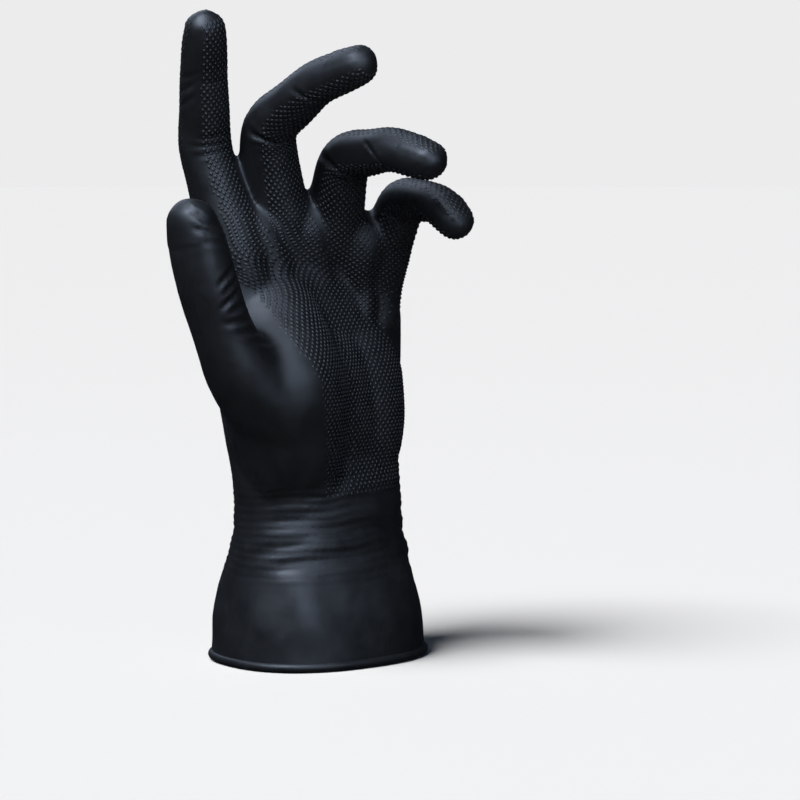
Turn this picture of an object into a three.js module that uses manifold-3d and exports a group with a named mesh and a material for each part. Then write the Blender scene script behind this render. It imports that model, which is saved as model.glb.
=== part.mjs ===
// A dipped nitrile exam glove for the left hand, shown in the form that a raised hand gives it.
// The glove is one hollow film with an open cuff that ends in a rolled bead.
// The origin is the middle of the cuff opening, +Z is up and the palm looks towards -Y and +X.
import * as THREE from "three";
import { mergeVertices } from "three/addons/utils/BufferGeometryUtils.js";
import Module from "manifold-3d";

const wasm = await Module();
wasm.setup();

// Driving dimensions in millimetres
const wall = 1;
const cuffLength = 55;
const cuffBreadth = 78;
const cuffDepth = 64;
const beadThickness = 3.2;
const wristBreadth = 63;
const wristDepth = 45;
const palmLength = 90;
const palmBreadth = 84;
const palmDepth = 29;
const thumbLength = 108;
const thumbWidth = 20.5;
const indexLength = 93;
const indexWidth = 18;
const middleLength = 103;
const middleWidth = 19;
const ringLength = 96;
const ringWidth = 18;
const littleLength = 76;
const littleWidth = 16.5;
const heelWidth = 40;
const heelLength = 70;
const ballWidth = 45;
const ballLength = 84;
const fingerWebDepth = 28;
const thumbWebDepth = 17;
const palmSlopeDepth = 36;
const wrinkleDepth = 1.1;

// Mesh fineness
const bodySides = 32;
const bodyStations = 20;
const digitSides = 14;
const digitStations = 15;
const beadSides = 8;
const tipSteps = [24, 46, 66];
const webStations = 6;
const shortestEdge = 0.06;
const mergeDistance = 1e-4;

// Pose of the palm over the forearm, in degrees: a turn about Z, then a tilt back and a lean to one side
const palmPose = { turn: 39, tilt: -3.3, lean: -6.4 };
const wristBend = { start: -0.5, end: 0.3 };

// The cuff from its edge, at 0, to the wrist, at 1; flare goes from the wrist's size, 0, to the cuff's, 1
const cuffSections = [
  { at: 0.0, flare: 1.0 },
  { at: 0.3, flare: 0.86 },
  { at: 0.6, flare: 0.42 },
  { at: 0.82, flare: 0.1 },
  { at: 1.0, flare: 0.0 },
];

// The palm from the wrist, at 0, past the knuckles, at 1. Spread goes from the wrist's breadth to the
// palm's, and thin from the wrist's depth to the palm's. Across is a share of the palm's breadth, and
// slant lowers the side of the little finger, in millimetres for each millimetre across.
const palmSections = [
  { at: 0.0, spread: 0.0, thin: 0.0, across: 0.0, slant: 0.0 },
  { at: 0.15, spread: 0.1, thin: 0.22, across: 0.01, slant: 0.0 },
  { at: 0.35, spread: 0.42, thin: 0.5, across: 0.02, slant: 0.0 },
  { at: 0.6, spread: 0.78, thin: 0.8, across: 0.035, slant: 0.06 },
  { at: 0.8, spread: 0.97, thin: 1.0, across: 0.04, slant: 0.15 },
  { at: 0.9, spread: 0.86, thin: 1.14, across: 0.04, slant: 0.17 },
  { at: 0.97, spread: 0.6, thin: 1.42, across: 0.04, slant: 0.18 },
  { at: 1.02, spread: 0.2, thin: 1.85, across: 0.04, slant: 0.18 },
];

// Fingers and thumb. Root places are shares of the palm's breadth, length and depth, from the wrist.
// Splay, lift and roll turn the root frame, and bends are the angles at the three joints, in degrees.
const digits = {
  index: {
    length: indexLength, width: indexWidth, across: -0.286, along: 0.978, out: 0,
    splay: 10, lift: 0, roll: -3, bends: [-1, 25, 5],
  },
  middle: {
    length: middleLength, width: middleWidth, across: -0.048, along: 1, out: -0.03,
    splay: 19, lift: 0, roll: 15, bends: [19, 51, 15],
  },
  ring: {
    length: ringLength, width: ringWidth, across: 0.179, along: 0.956, out: 0.03,
    splay: 11, lift: 0, roll: -1, bends: [37, 54, 20],
  },
  little: {
    length: littleLength, width: littleWidth, across: 0.378, along: 0.867, out: 0.17,
    splay: -5, lift: 0, roll: -6, bends: [42, 58, 28],
  },
  thumb: {
    length: thumbLength, width: thumbWidth, across: -0.192, along: 0.177, out: 0.32,
    splay: 38, lift: 13, roll: 106, bends: [0, 18, 8],
  },
};
const fingerJoints = [0, 0.465, 0.74];
const thumbJoints = [0, 0.407, 0.713];
const bendReach = 0.55;

// Sections of a finger. At is a share of its length from the knuckle, and the rest are shares of its
// width: the whole width, the half towards the back of the hand and the half towards the palm.
const fingerSections = [
  { at: -0.24, width: 1.0, back: 0.6, pad: 0.6, shift: 0 },
  { at: 0.0, width: 1.22, back: 0.72, pad: 0.74, shift: 0 },
  { at: 0.14, width: 1.18, back: 0.63, pad: 0.7, shift: 0 },
  { at: 0.24, width: 1.1, back: 0.57, pad: 0.6, shift: 0 },
  { at: 0.34, width: 1.03, back: 0.54, pad: 0.54, shift: 0 },
  { at: 0.465, width: 1.04, back: 0.49, pad: 0.48, shift: 0 },
  { at: 0.6, width: 0.98, back: 0.4, pad: 0.5, shift: 0 },
  { at: 0.74, width: 0.94, back: 0.38, pad: 0.43, shift: 0 },
  { at: 0.86, width: 0.88, back: 0.35, pad: 0.42, shift: 0 },
  { at: 0.95, width: 0.76, back: 0.3, pad: 0.38, shift: 0 },
  { at: 1.0, width: 0.64, back: 0.26, pad: 0.32, shift: 0 },
];

// Sections of the thumb, whose root is the ball of the thumb. Shift moves a section towards the palm.
const thumbSections = [
  { at: -0.12, width: 0.7, back: 0.25, pad: 0.35, shift: -0.1 },
  { at: 0.0, width: 1.3, back: 0.46, pad: 0.8, shift: 0.1 },
  { at: 0.2, width: 1.5, back: 0.56, pad: 1.0, shift: 0.18 },
  { at: 0.4, width: 1.24, back: 0.56, pad: 0.74, shift: 0.06 },
  { at: 0.56, width: 1.02, back: 0.5, pad: 0.54, shift: 0 },
  { at: 0.71, width: 1.02, back: 0.48, pad: 0.5, shift: 0 },
  { at: 0.85, width: 0.98, back: 0.42, pad: 0.5, shift: 0 },
  { at: 0.94, width: 0.82, back: 0.34, pad: 0.42, shift: 0 },
  { at: 1.0, width: 0.68, back: 0.28, pad: 0.34, shift: 0 },
];

// The pads that press into the film: the heel of the hand, on the little finger's side, and the ball of
// the thumb, which is turned towards the thumb
const pads = {
  heel: {
    length: heelLength, width: heelWidth, across: 0.16, along: 0.02, out: 0.1,
    splay: -7, lift: -2, roll: 0, bends: [0, 0, 0],
  },
  ball: {
    length: ballLength, width: ballWidth, across: -0.19, along: 0.04, out: 0.38,
    splay: 0, lift: -6, roll: -27, bends: [0, 0, 0],
  },
};

// The webs between neighbouring digits, and the slope from the ball of the thumb into the palm. From and
// to are shares of each digit's length past its knuckle, at is a share of the way between them, and thick
// is a share of the web's depth. Back is the share of that depth on the side of the hand's back.
const webs = [
  { pair: ["index", "middle"], from: [-0.2, -0.2], to: [0.27, 0.24], depth: fingerWebDepth, back: 0.78 },
  { pair: ["middle", "ring"], from: [-0.2, -0.2], to: [0.26, 0.28], depth: fingerWebDepth, back: 0.78 },
  { pair: ["ring", "little"], from: [-0.2, -0.2], to: [0.28, 0.34], depth: fingerWebDepth, back: 0.78 },
  { pair: ["thumb", "index"], from: [0.2, -0.68], to: [0.56, -0.22], depth: thumbWebDepth, back: 1 },
  { pair: ["thumb", "ring"], from: [0.06, -0.68], to: [0.56, -0.2], depth: palmSlopeDepth, back: 1 },
];
const webSections = [
  { at: 0.0, thick: 0.9 },
  { at: 0.3, thick: 1.0 },
  { at: 0.65, thick: 0.95 },
  { at: 0.88, thick: 0.72 },
  { at: 1.0, thick: 0.35 },
];

// Sections of the two pads, as a finger's are
const padSections = {
  heel: [
    { at: 0.0, width: 0.5, back: 0.2, pad: 0.3, shift: 0 },
    { at: 0.25, width: 0.9, back: 0.22, pad: 0.46, shift: 0 },
    { at: 0.6, width: 1.0, back: 0.24, pad: 0.46, shift: 0 },
    { at: 0.85, width: 0.85, back: 0.2, pad: 0.34, shift: 0 },
    { at: 1.0, width: 0.6, back: 0.14, pad: 0.2, shift: 0 },
  ],
  ball: [
    { at: 0.0, width: 0.6, back: 0.1, pad: 0.22, shift: 0 },
    { at: 0.2, width: 0.86, back: 0.14, pad: 0.48, shift: 0 },
    { at: 0.42, width: 1.0, back: 0.16, pad: 0.66, shift: 0 },
    { at: 0.6, width: 0.96, back: 0.16, pad: 0.6, shift: 0 },
    { at: 0.8, width: 0.78, back: 0.12, pad: 0.34, shift: 0 },
    { at: 1.0, width: 0.5, back: 0.1, pad: 0.12, shift: 0 },
  ],
};

// Folds across the wrist, as shares of the cuff's length from its edge
const wristFolds = [0.7, 0.84, 0.98];
const foldReach = 0.05;

// How square the ovals are: 2 is an ellipse
const bodyPower = 2.4;
const digitPower = 2.15;

// Size of the ring that closes the palm, as a share of the section there
const palmEndShrink = 0.8;

const turnX = (degrees) => new THREE.Matrix4().makeRotationX(THREE.MathUtils.degToRad(degrees));
const turnY = (degrees) => new THREE.Matrix4().makeRotationY(THREE.MathUtils.degToRad(degrees));
const turnZ = (degrees) => new THREE.Matrix4().makeRotationZ(THREE.MathUtils.degToRad(degrees));
const move = (x, y, z) => new THREE.Matrix4().makeTranslation(x, y, z);
const chain = (...steps) => steps.reduce((all, step) => all.multiply(step), new THREE.Matrix4());
const mix = THREE.MathUtils.lerp;

// Reads one column of a table at any place, on a smooth curve through its rows.
function readColumn(rows, column, place) {
  const last = rows.length - 2;
  const i = Math.min(last, Math.max(0, rows.findIndex((row) => row.at > place) - 1));
  const from = place >= rows[rows.length - 1].at ? last : i;
  const [a, b] = [rows[from], rows[from + 1]];
  const [before, after] = [rows[from - 1] ?? a, rows[from + 2] ?? b];
  const span = b.at - a.at;
  const slopeA = ((b[column] - before[column]) / (b.at - before.at)) * span;
  const slopeB = ((after[column] - a[column]) / (after.at - a.at)) * span;
  const t = THREE.MathUtils.clamp((place - a.at) / span, 0, 1);
  const rise = t * t * (3 - 2 * t);
  return mix(a[column], b[column], rise) + t * (1 - t) * ((1 - t) * slopeA - t * slopeB);
}

const readRow = (rows, place) =>
  Object.fromEntries(Object.keys(rows[0]).map((column) => [column, readColumn(rows, column, place)]));

// A ring of a tube: an oval, a little squared, whose back and palm halves have their own depth.
function ovalRing(frame, section, sides, power) {
  return Array.from({ length: sides }, (_, k) => {
    const angle = (2 * Math.PI * k) / sides;
    const [c, s] = [Math.cos(angle), Math.sin(angle)];
    const x = section.halfWidth * Math.sign(c) * Math.abs(c) ** (2 / power);
    const depth = s > 0 ? section.back : section.palm;
    const y = depth * Math.sign(s) * Math.abs(s) ** (2 / power);
    return new THREE.Vector3(x, y, -(section.slant ?? 0) * x).applyMatrix4(frame);
  });
}

// Joins rings of equal length into one closed mesh with a point at the middle of each end.
function meshFromRings(rings, closed = false) {
  const sides = rings[0].length;
  const points = rings.flat();
  const faces = [];
  const count = closed ? rings.length : rings.length - 1;
  for (let i = 0; i < count; i += 1) {
    const next = (i + 1) % rings.length;
    for (let k = 0; k < sides; k += 1) {
      const [a, b] = [i * sides + k, i * sides + ((k + 1) % sides)];
      const [c, d] = [next * sides + ((k + 1) % sides), next * sides + k];
      faces.push(a, b, c, a, c, d);
    }
  }
  if (!closed) {
    const middle = (list) => list.reduce((sum, p) => sum.add(p), new THREE.Vector3()).divideScalar(sides);
    const [first, end] = [points.length, points.length + 1];
    const top = (rings.length - 1) * sides;
    points.push(middle(rings[0]), middle(rings[rings.length - 1]));
    for (let k = 0; k < sides; k += 1) {
      const other = (k + 1) % sides;
      faces.push(first, other, k, end, top + k, top + other);
    }
  }
  const geometry = new THREE.BufferGeometry();
  const places = points.flatMap((point) => point.toArray());
  geometry.setAttribute("position", new THREE.Float32BufferAttribute(places, 3));
  geometry.setIndex(faces);
  return geometry;
}

function solidFrom(geometry) {
  const merged = mergeVertices(geometry, mergeDistance);
  return new wasm.Manifold(new wasm.Mesh({
    numProp: 3,
    vertProperties: new Float32Array(merged.attributes.position.array),
    triVerts: new Uint32Array(merged.index.array),
  }));
}

// Joins the two ends of each edge that is too short to keep, where the surface stays whole. Cuts
// between tubes leave a few such edges.
function closeShortEdges(points, faces) {
  const around = points.map(() => new Set());
  faces.forEach((face) => face.forEach((corner) => around[corner].add(face)));
  const neighbours = (corner) => new Set([...around[corner]].flat().filter((other) => other !== corner));
  for (const face of faces) {
    for (let k = 0; k < 3 && around[face[k]].has(face); k += 1) {
      const [keep, drop] = [face[k], face[(k + 1) % 3]];
      if (points[keep].distanceTo(points[drop]) > shortestEdge) continue;
      const shared = [...neighbours(keep)].filter((corner) => neighbours(drop).has(corner));
      if (shared.length !== 2) continue;
      for (const other of [...around[drop]]) {
        around[drop].delete(other);
        if (other.includes(keep)) {
          other.forEach((corner) => around[corner].delete(other));
        } else {
          other[other.indexOf(drop)] = keep;
          around[keep].add(other);
        }
      }
    }
  }
  return [...new Set(around.flatMap((set) => [...set]))];
}

function geometryFrom(solid) {
  const mesh = solid.getMesh();
  const places = mesh.vertProperties;
  const count = places.length / 3;
  const points = Array.from({ length: count }, (_, i) => new THREE.Vector3().fromArray(places, 3 * i));
  const twins = new Map([...mesh.mergeFromVert].map((from, i) => [from, mesh.mergeToVert[i]]));
  const corners = [...mesh.triVerts].map((corner) => twins.get(corner) ?? corner);
  const faces = Array.from({ length: corners.length / 3 }, (_, i) => corners.slice(3 * i, 3 * i + 3));
  const geometry = new THREE.BufferGeometry();
  geometry.setAttribute("position", new THREE.Float32BufferAttribute(places, 3));
  geometry.setIndex(closeShortEdges(points, faces).flat());
  geometry.computeVertexNormals();
  return geometry;
}

// Frames: x runs across to the little finger, y to the back of the hand, z to the fingertips
const forearmTurn = turnZ(palmPose.turn);
const palmTurn = chain(turnX(palmPose.tilt), turnY(palmPose.lean), turnZ(palmPose.turn));
const palmFrame = chain(move(0, 0, cuffLength), palmTurn);

function bodyFrame(share) {
  const turn = new THREE.Quaternion().setFromRotationMatrix(forearmTurn);
  const bent = new THREE.Quaternion().setFromRotationMatrix(palmTurn);
  turn.slerp(bent, THREE.MathUtils.smoothstep(share, wristBend.start, wristBend.end));
  const base = share < 0
    ? new THREE.Vector3(0, 0, cuffLength * (1 + share))
    : new THREE.Vector3(0, 0, palmLength * share).applyMatrix4(palmFrame);
  return chain(move(base.x, base.y, base.z), new THREE.Matrix4().makeRotationFromQuaternion(turn));
}

function foldDepth(share) {
  const closeness = wristFolds.map((at) => Math.exp(-(((1 + share - at) / foldReach) ** 2)));
  return closeness.reduce((sum, part) => sum + part, 0) * wrinkleDepth;
}

// One ring of the cuff, wrist and palm; share runs from -1 at the cuff's edge past 1 at the knuckles.
function bodyRing(share, inset, scale = 1) {
  const inCuff = share < 0;
  const row = readRow(inCuff ? cuffSections : palmSections, inCuff ? 1 + share : share);
  const breadth = inCuff
    ? mix(wristBreadth, cuffBreadth, row.flare)
    : mix(wristBreadth, palmBreadth, row.spread);
  const depth = inCuff ? mix(wristDepth, cuffDepth, row.flare) : mix(wristDepth, palmDepth, row.thin);
  const frame = bodyFrame(share).multiply(move((row.across ?? 0) * palmBreadth, 0, 0));
  const fold = foldDepth(share);
  const section = {
    halfWidth: (breadth / 2 - inset) * scale,
    back: (depth / 2 - inset) * scale,
    palm: (depth / 2 - inset - fold) * scale,
    slant: row.slant,
  };
  return ovalRing(frame, section, bodySides, bodyPower);
}

function bodySolid(inset, below) {
  const low = inset > 0 ? -1 - below / cuffLength : -1 + below / cuffLength;
  const high = palmSections[palmSections.length - 1].at - inset / palmLength;
  const foldShares = wristFolds.flatMap((at) => [at - 1 - foldReach, at - 1, at - 1 + foldReach]);
  const even = Array.from({ length: bodyStations }, (_, i) => mix(low, high, i / bodyStations));
  const clear = even.filter((share) => foldShares.every((fold) => Math.abs(fold - share) > foldReach / 2));
  const shares = [...clear, ...foldShares].sort((a, b) => a - b);
  const rings = shares.map((share) => bodyRing(share, inset));
  rings.push(bodyRing(high, inset, palmEndShrink));
  return solidFrom(meshFromRings(rings));
}

// Follows a digit along its bends and gives the frame at each distance from its knuckle.
function digitFrames(digit, joints, distances) {
  const start = distances[0];
  const root = chain(
    palmFrame,
    move(digit.across * palmBreadth, -digit.out * palmDepth, digit.along * palmLength),
    turnY(-digit.splay),
    turnX(digit.lift),
    turnZ(digit.roll),
    move(0, 0, start),
  );
  const reach = bendReach * digit.width;
  const bendAt = (distance) => digit.bends.reduce((sum, bend, j) => {
    const joint = joints[j] * digit.length;
    return sum + bend * THREE.MathUtils.smoothstep(distance, joint - reach, joint + reach);
  }, 0);
  const frames = [];
  let [y, z] = [0, 0];
  let distance = start;
  for (const goal of distances) {
    const steps = Math.max(1, Math.ceil(goal - distance));
    const length = (goal - distance) / steps;
    for (let i = 0; i < steps; i += 1) {
      const angle = THREE.MathUtils.degToRad(bendAt(distance + length / 2));
      y -= Math.sin(angle) * length;
      z += Math.cos(angle) * length;
      distance += length;
    }
    frames.push(chain(root, move(0, y, z), turnX(bendAt(goal))));
  }
  return frames;
}

function digitSolid(digit, sections, joints, inset) {
  const first = sections[0].at * digit.length;
  const tip = (sections[sections.length - 1].width * digit.width) / 2;
  const roundStart = digit.length - tip;
  const radius = tip - inset;
  const steps = Array.from({ length: digitStations }, (_, i) => i / digitStations);
  const distances = steps.map((step) => mix(first, roundStart, step));
  const scales = distances.map(() => 1);
  for (const degrees of [0, ...tipSteps]) {
    distances.push(roundStart + radius * Math.sin(THREE.MathUtils.degToRad(degrees)));
    scales.push(Math.cos(THREE.MathUtils.degToRad(degrees)));
  }
  const frames = digitFrames(digit, joints, distances);
  const rings = frames.map((frame, i) => {
    const row = readRow(sections, distances[i] / digit.length);
    const section = {
      halfWidth: (row.width * digit.width / 2 - inset) * scales[i],
      back: (row.back * digit.width - inset) * scales[i],
      palm: (row.pad * digit.width - inset) * scales[i],
    };
    const middle = frame.clone().multiply(move(-row.shift * digit.width, 0, 0));
    return ovalRing(middle, section, digitSides, digitPower);
  });
  const end = new THREE.Vector3(-sections[sections.length - 1].shift * digit.width, 0, radius);
  const mesh = meshFromRings(rings);
  const beyond = digitFrames(digit, joints, [...distances.slice(0, -1), roundStart]).pop();
  end.applyMatrix4(beyond);
  mesh.attributes.position.setXYZ(mesh.attributes.position.count - 1, end.x, end.y, end.z);
  return solidFrom(mesh);
}

// A web lies midway between two digits and is as wide as the gap between their middles.
function webSolid(web, inset) {
  const shares = Array.from({ length: webStations }, (_, i) => i / (webStations - 1));
  const [near, far] = web.pair.map((name, side) => {
    const { length } = digits[name];
    const joints = name === "thumb" ? thumbJoints : fingerJoints;
    const [from, to] = [web.from[side] * length, web.to[side] * length - inset];
    return digitFrames(digits[name], joints, shares.map((share) => mix(from, to, share)));
  });
  const rings = shares.map((share, i) => {
    const [a, b] = [near[i], far[i]].map((frame) => new THREE.Vector3().setFromMatrixPosition(frame));
    const [alongA, alongB] = [near[i], far[i]].map((f) => new THREE.Vector3().setFromMatrixColumn(f, 2));
    const across = b.clone().sub(a).normalize();
    const back = alongA.add(alongB).cross(across).normalize();
    const turn = new THREE.Matrix4().makeBasis(across, back, across.clone().cross(back));
    const middle = a.clone().add(b).divideScalar(2);
    const depth = (readColumn(webSections, "thick", share) * web.depth) / 2;
    const section = { halfWidth: a.distanceTo(b) / 2, back: depth * web.back - inset, palm: depth - inset };
    return ovalRing(chain(move(middle.x, middle.y, middle.z), turn), section, digitSides, digitPower);
  });
  return solidFrom(meshFromRings(rings));
}

function handSolid(inset, below) {
  const tubes = [bodySolid(inset, below)];
  for (const web of webs) tubes.push(webSolid(web, inset));
  for (const name of ["index", "middle", "ring", "little"]) {
    tubes.push(digitSolid(digits[name], fingerSections, fingerJoints, inset));
  }
  tubes.push(digitSolid(digits.thumb, thumbSections, thumbJoints, inset));
  for (const [name, pad] of Object.entries(pads)) {
    tubes.push(digitSolid(pad, padSections[name], thumbJoints, inset));
  }
  return tubes.reduce((all, tube) => all.add(tube));
}

// The bead: a round section carried round the edge of the cuff
function beadSolid() {
  const radius = beadThickness / 2;
  const rings = Array.from({ length: bodySides }, (_, k) => {
    const angle = (2 * Math.PI * k) / bodySides;
    const [c, s] = [Math.cos(angle), Math.sin(angle)];
    const halfBreadth = cuffBreadth / 2 - wall / 2;
    const halfDepth = cuffDepth / 2 - wall / 2;
    const x = halfBreadth * Math.sign(c) * Math.abs(c) ** (2 / bodyPower);
    const y = halfDepth * Math.sign(s) * Math.abs(s) ** (2 / bodyPower);
    const out = new THREE.Vector3(x, y, 0).normalize();
    return Array.from({ length: beadSides }, (_unused, j) => {
      const round = (2 * Math.PI * (j + 0.5)) / beadSides;
      const point = new THREE.Vector3(x, y, radius).addScaledVector(out, radius * Math.cos(round));
      point.z -= radius * Math.sin(round);
      return point.applyMatrix4(forearmTurn);
    });
  });
  return solidFrom(meshFromRings(rings, true));
}

const nitrile = new THREE.MeshStandardMaterial({ color: 0x15181c, roughness: 0.5, metalness: 0 });
const film = handSolid(0, beadThickness / 2).subtract(handSolid(wall, beadThickness)).add(beadSolid());
const glove = new THREE.Mesh(geometryFrom(film), nitrile);
glove.name = "glove";

const part = new THREE.Group();
part.add(glove);

export default part;
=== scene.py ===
import math
import bpy
import numpy as np
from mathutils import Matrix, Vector, noise


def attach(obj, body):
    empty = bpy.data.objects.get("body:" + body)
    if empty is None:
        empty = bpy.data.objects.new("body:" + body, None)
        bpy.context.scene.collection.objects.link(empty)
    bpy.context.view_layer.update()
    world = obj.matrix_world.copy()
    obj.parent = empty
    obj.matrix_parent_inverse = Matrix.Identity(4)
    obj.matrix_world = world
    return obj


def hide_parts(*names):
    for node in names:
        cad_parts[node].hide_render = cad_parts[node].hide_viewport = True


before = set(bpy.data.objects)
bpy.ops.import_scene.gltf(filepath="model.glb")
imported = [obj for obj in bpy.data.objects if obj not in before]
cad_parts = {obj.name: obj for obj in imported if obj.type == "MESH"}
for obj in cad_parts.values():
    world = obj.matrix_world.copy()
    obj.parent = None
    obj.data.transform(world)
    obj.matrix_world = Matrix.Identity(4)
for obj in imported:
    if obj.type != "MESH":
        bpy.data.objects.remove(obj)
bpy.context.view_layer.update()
print("frame loaded")

# camera: level with the wrist's upper end, looking down a little at the raised hand
cameraSetup = {
    "target": (0.0293, 0.0, 0.092),
    "distance": 1.0,
    "elevation": 5.0,
    "lens": 126.0,
    "sensor": 36.0,
}


def deselectAll():
    bpy.ops.object.select_all(action="DESELECT")


def selectOnly(item):
    deselectAll()
    item.select_set(True)
    bpy.context.view_layer.objects.active = item


def aimAt(item, target):
    # turns a camera or light so that it looks at the target
    direction = Vector(target) - item.location
    item.rotation_euler = direction.to_track_quat("-Z", "Y").to_euler()


def addCamera(setup):
    deselectAll()
    rise = math.radians(setup["elevation"])
    target = Vector(setup["target"])
    place = target + Vector((0, -math.cos(rise), math.sin(rise))) * setup["distance"]
    bpy.ops.object.camera_add(location=place)
    camera = bpy.context.object
    camera.name = "camera"
    camera.data.lens = setup["lens"]
    camera.data.sensor_width = setup["sensor"]
    camera.data.clip_start = 0.05
    aimAt(camera, target)
    bpy.context.scene.camera = camera


addCamera(cameraSetup)
print("camera set")

# the hand's form, in millimetres and degrees, as in the frame's solid
gloveSizes = {
    "cuffLength": 55, "cuffBreadth": 78, "cuffDepth": 64, "beadThickness": 3.2,
    "wristBreadth": 63, "wristDepth": 45,
    "palmLength": 90, "palmBreadth": 84, "palmDepth": 29,
    "bodyPower": 2.4, "digitPower": 2.15, "bendReach": 0.55, "palmEndShrink": 0.8,
}
palmPose = {"turn": 39, "tilt": -3.3, "lean": -6.4, "bendStart": -0.5, "bendEnd": 0.3}
cuffSections = {
    "at": [0.0, 0.3, 0.6, 0.82, 1.0],
    "flare": [1.0, 0.86, 0.42, 0.1, 0.0],
}
palmSections = {
    "at": [0.0, 0.15, 0.35, 0.6, 0.8, 0.9, 0.97, 1.02],
    "spread": [0.0, 0.1, 0.42, 0.78, 0.97, 0.86, 0.6, 0.2],
    "thin": [0.0, 0.22, 0.5, 0.8, 1.0, 1.14, 1.42, 1.85],
    "across": [0.0, 0.01, 0.02, 0.035, 0.04, 0.04, 0.04, 0.04],
    "slant": [0.0, 0.0, 0.0, 0.06, 0.15, 0.17, 0.18, 0.18],
}
fingerSections = {
    "at": [-0.24, 0.0, 0.14, 0.24, 0.34, 0.465, 0.6, 0.74, 0.86, 0.95, 1.0],
    "width": [1.0, 1.22, 1.18, 1.1, 1.03, 1.04, 0.98, 0.94, 0.88, 0.76, 0.64],
    "back": [0.6, 0.72, 0.63, 0.57, 0.54, 0.49, 0.4, 0.38, 0.35, 0.3, 0.26],
    "pad": [0.6, 0.74, 0.7, 0.6, 0.54, 0.48, 0.5, 0.43, 0.42, 0.38, 0.32],
    "shift": [0, 0, 0, 0, 0, 0, 0, 0, 0, 0, 0],
}
thumbSections = {
    "at": [-0.12, 0.0, 0.2, 0.4, 0.56, 0.71, 0.85, 0.94, 1.0],
    "width": [0.7, 1.3, 1.5, 1.24, 1.02, 1.02, 0.98, 0.82, 0.68],
    "back": [0.25, 0.46, 0.56, 0.56, 0.5, 0.48, 0.42, 0.34, 0.28],
    "pad": [0.35, 0.8, 1.0, 0.74, 0.54, 0.5, 0.5, 0.42, 0.34],
    "shift": [-0.1, 0.1, 0.18, 0.06, 0, 0, 0, 0, 0],
}
padSections = {
    "at": [0.0, 0.25, 0.6, 0.85, 1.0],
    "width": [0.5, 0.9, 1.0, 0.85, 0.6],
    "back": [0.2, 0.22, 0.24, 0.2, 0.14],
    "pad": [0.3, 0.46, 0.46, 0.34, 0.2],
    "shift": [0, 0, 0, 0, 0],
}
ballSections = {
    "at": [0.0, 0.2, 0.42, 0.6, 0.8, 1.0],
    "width": [0.6, 0.86, 1.0, 0.96, 0.78, 0.5],
    "back": [0.1, 0.14, 0.16, 0.16, 0.12, 0.1],
    "pad": [0.22, 0.48, 0.66, 0.6, 0.34, 0.12],
    "shift": [0, 0, 0, 0, 0, 0],
}
fingerJoints = [0, 0.465, 0.74]
thumbJoints = [0, 0.407, 0.713]
digits = {
    "index": {"length": 93, "width": 18, "across": -0.286, "along": 0.978, "out": 0,
              "splay": 10, "lift": 0, "roll": -3, "bends": [-1, 25, 5],
              "sections": fingerSections, "joints": fingerJoints},
    "middle": {"length": 103, "width": 19, "across": -0.048, "along": 1, "out": -0.03,
               "splay": 19, "lift": 0, "roll": 15, "bends": [19, 51, 15],
               "sections": fingerSections, "joints": fingerJoints},
    "ring": {"length": 96, "width": 18, "across": 0.179, "along": 0.956, "out": 0.03,
             "splay": 11, "lift": 0, "roll": -1, "bends": [37, 54, 20],
             "sections": fingerSections, "joints": fingerJoints},
    "little": {"length": 76, "width": 16.5, "across": 0.378, "along": 0.867, "out": 0.17,
               "splay": -5, "lift": 0, "roll": -6, "bends": [42, 58, 28],
               "sections": fingerSections, "joints": fingerJoints},
    "thumb": {"length": 108, "width": 20.5, "across": -0.192, "along": 0.177, "out": 0.32,
              "splay": 38, "lift": 13, "roll": 106, "bends": [0, 18, 8],
              "sections": thumbSections, "joints": thumbJoints},
    "heel": {"length": 70, "width": 40, "across": 0.16, "along": 0.02, "out": 0.1,
             "splay": -7, "lift": -2, "roll": 0, "bends": [0, 0, 0],
             "sections": padSections, "joints": thumbJoints},
    "ball": {"length": 84, "width": 45, "across": -0.19, "along": 0.04, "out": 0.38,
             "splay": 0, "lift": -6, "roll": -27, "bends": [0, 0, 0],
             "sections": ballSections, "joints": thumbJoints},
}
fingers = ["index", "middle", "ring", "little"]
webs = [
    {"pair": ("index", "middle"), "start": (-0.2, -0.2), "end": (0.27, 0.24), "depth": 28, "back": 0.78},
    {"pair": ("middle", "ring"), "start": (-0.2, -0.2), "end": (0.26, 0.28), "depth": 28, "back": 0.78},
    {"pair": ("ring", "little"), "start": (-0.2, -0.2), "end": (0.28, 0.34), "depth": 28, "back": 0.78},
    {"pair": ("thumb", "index"), "start": (0.2, -0.68), "end": (0.56, -0.22), "depth": 17, "back": 1},
    {"pair": ("thumb", "ring"), "start": (0.06, -0.68), "end": (0.56, -0.2), "depth": 36, "back": 1},
]
webSections = {"at": [0.0, 0.3, 0.65, 0.88, 1.0], "thick": [0.9, 1.0, 0.95, 0.72, 0.35]}


def readSmooth(table, column, places):
    # one column of a table at any places, on a smooth curve through its rows
    at = np.array(table["at"], float)
    value = np.array(table[column], float)
    places = np.atleast_1d(np.asarray(places, float))
    i = np.clip(np.searchsorted(at, places, side="right") - 1, 0, len(at) - 2)
    before = np.maximum(i - 1, 0)
    after = np.minimum(i + 2, len(at) - 1)
    span = at[i + 1] - at[i]
    slopeA = (value[i + 1] - value[before]) / (at[i + 1] - at[before]) * span
    slopeB = (value[after] - value[i]) / (at[after] - at[i]) * span
    t = np.clip((places - at[i]) / span, 0, 1)
    rise = t * t * (3 - 2 * t)
    bow = t * (1 - t) * ((1 - t) * slopeA - t * slopeB)
    return value[i] + (value[i + 1] - value[i]) * rise + bow


def smoothStep(value, low, high):
    t = np.clip((value - low) / (high - low), 0, 1)
    return t * t * (3 - 2 * t)


def move(x, y, z):
    m = np.eye(4)
    m[:3, 3] = (x, y, z)
    return m


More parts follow.
